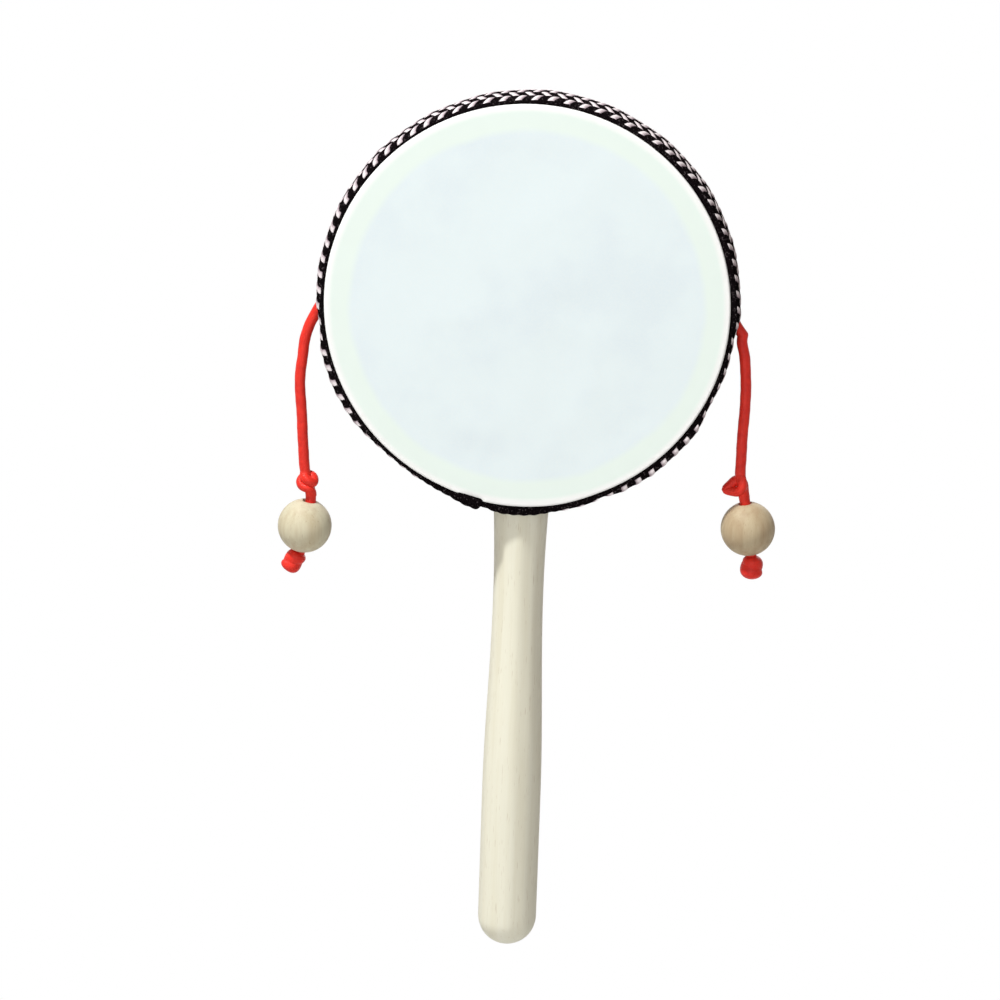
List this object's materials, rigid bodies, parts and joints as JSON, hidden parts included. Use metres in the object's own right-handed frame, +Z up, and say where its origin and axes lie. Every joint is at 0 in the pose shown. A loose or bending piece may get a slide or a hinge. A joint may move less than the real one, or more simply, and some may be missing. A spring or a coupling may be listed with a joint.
{
  "type": "pellet drum rattle",
  "caption": "Two-headed pellet drum on a turned wooden stick; a wooden bead on a red cord hangs at each side and strikes the skins when the stick is twirled.",
  "frame": {"origin": "on the handle's axis, at the middle of the straight grip", "axes": "+Z up the handle to the drum, -Y out of the front head, +X to the right seen from the front"},
  "size_m": [0.1279, 0.02, 0.2258],
  "materials": {
    "handle_wood": "sanded, unfinished",
    "hoop_wood": "sanded, unfinished",
    "drum_skin": "thin scraped skin, translucent",
    "braid": "woven black and white check",
    "cord": "satin",
    "bead_wood": "sanded, unfinished",
    "nail_steel": "bright"
  },
  "bodies": {
    "drum": {"handle": "handle_wood", "hoop": "hoop_wood", "front_head": "drum_skin", "front_head_edge": "drum_skin", "back_head": "drum_skin", "back_head_edge": "drum_skin", "rim_braid": "braid", "handle_nail": "nail_steel", "left_stop_knot": "cord", "right_stop_knot": "cord"},
    "left_cord_eye": {"left_cord_eye": "cord"},
    "left_cord_upper": {"left_cord_upper": "cord"},
    "left_cord_lower": {"left_cord_lower": "cord", "left_upper_knot": "cord", "left_bead_cord": "cord", "left_lower_knot": "cord"},
    "left_bead": {"left_bead": "bead_wood"},
    "right_cord_eye": {"right_cord_eye": "cord"},
    "right_cord_upper": {"right_cord_upper": "cord"},
    "right_cord_lower": {"right_cord_lower": "cord", "right_upper_knot": "cord", "right_bead_cord": "cord", "right_lower_knot": "cord"},
    "right_bead": {"right_bead": "bead_wood"}
  },
  "joints": [
    {"name": "left_lift", "type": "hinge", "parent": "drum", "child": "left_cord_eye", "pos_m": [-0.05437, 0, 0.14195], "axis": [0, 1, 0], "range_deg": [-15, 95]},
    {"name": "left_whip", "type": "hinge", "parent": "left_cord_eye", "child": "left_cord_upper", "pos_m": [-0.05437, 0, 0.14195], "axis": [-1, 0, 0], "range_deg": [-90, 90]},
    {"name": "left_wrap", "type": "hinge", "parent": "left_cord_upper", "child": "left_cord_lower", "pos_m": [-0.05747, 0, 0.12785], "axis": [-1, 0, 0], "range_deg": [-86, 86]},
    {"name": "left_bead_spin", "type": "hinge", "parent": "left_cord_lower", "child": "left_bead", "pos_m": [-0.05571, 0, 0.08704], "axis": [-0.165, 0, -0.9863], "continuous": true},
    {"name": "right_lift", "type": "hinge", "parent": "drum", "child": "right_cord_eye", "pos_m": [0.05437, 0, 0.14195], "axis": [0, -1, 0], "range_deg": [-15, 95]},
    {"name": "right_whip", "type": "hinge", "parent": "right_cord_eye", "child": "right_cord_upper", "pos_m": [0.05437, 0, 0.14195], "axis": [-1, 0, 0], "range_deg": [-90, 90]},
    {"name": "right_wrap", "type": "hinge", "parent": "right_cord_upper", "child": "right_cord_lower", "pos_m": [0.05588, 0, 0.12745], "axis": [-1, 0, 0], "range_deg": [-86, 86]},
    {"name": "right_bead_spin", "type": "hinge", "parent": "right_cord_lower", "child": "right_bead", "pos_m": [0.05821, 0, 0.0916], "axis": [0.165, 0, -0.9863], "continuous": true}
  ],
  "couplings": [
    {"joint": "left_wrap", "follows": "left_whip", "ratio": 0.95},
    {"joint": "right_wrap", "follows": "right_whip", "ratio": 0.95}
  ]
}
